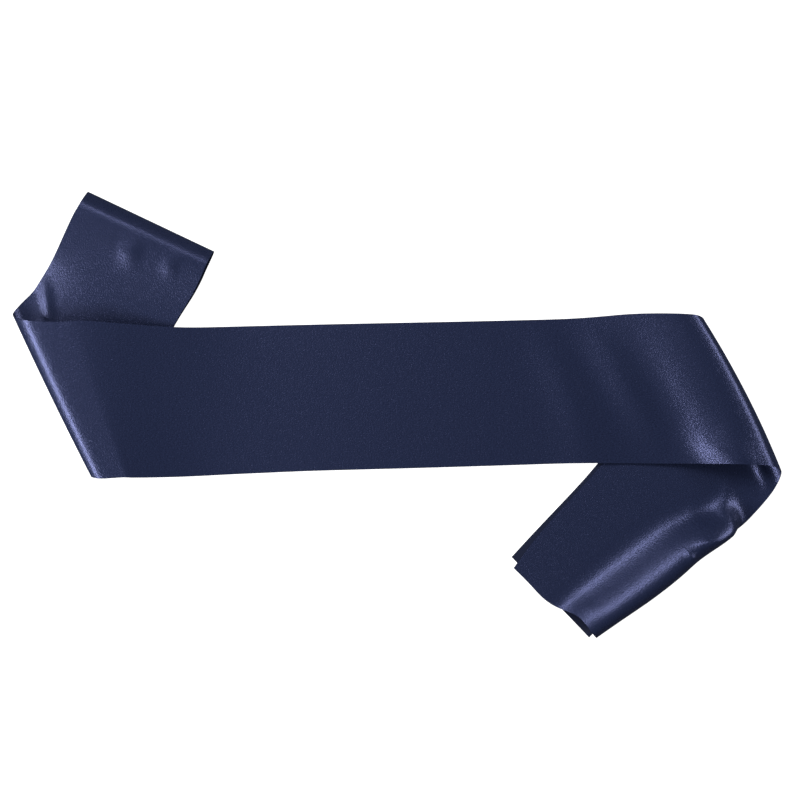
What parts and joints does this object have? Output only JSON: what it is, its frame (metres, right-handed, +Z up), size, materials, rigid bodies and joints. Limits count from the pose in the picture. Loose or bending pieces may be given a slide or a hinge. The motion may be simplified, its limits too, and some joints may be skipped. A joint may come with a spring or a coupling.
{
  "type": "satin sash",
  "caption": "Wide satin ribbon sash, doubled and laid flat in a Z, with soft rolled turns, a looped end and two cut ends lying together.",
  "frame": {"origin": "on the table under the middle of the whole sash's outline", "axes": "+X along the long middle band from the left turn to the right turn, +Y across the band towards the looped end, +Z up from the table"},
  "size_m": [0.5296, 0.307, 0.0222],
  "materials": {
    "satin": "navy polyester satin, glossy outside, matte inside"
  },
  "bodies": {
    "root": {"band_top": "satin", "band_under": "satin", "upper_tail_top": "satin", "upper_tail_under": "satin", "lower_tail_top": "satin", "lower_tail_under": "satin"}
  },
  "joints": []
}
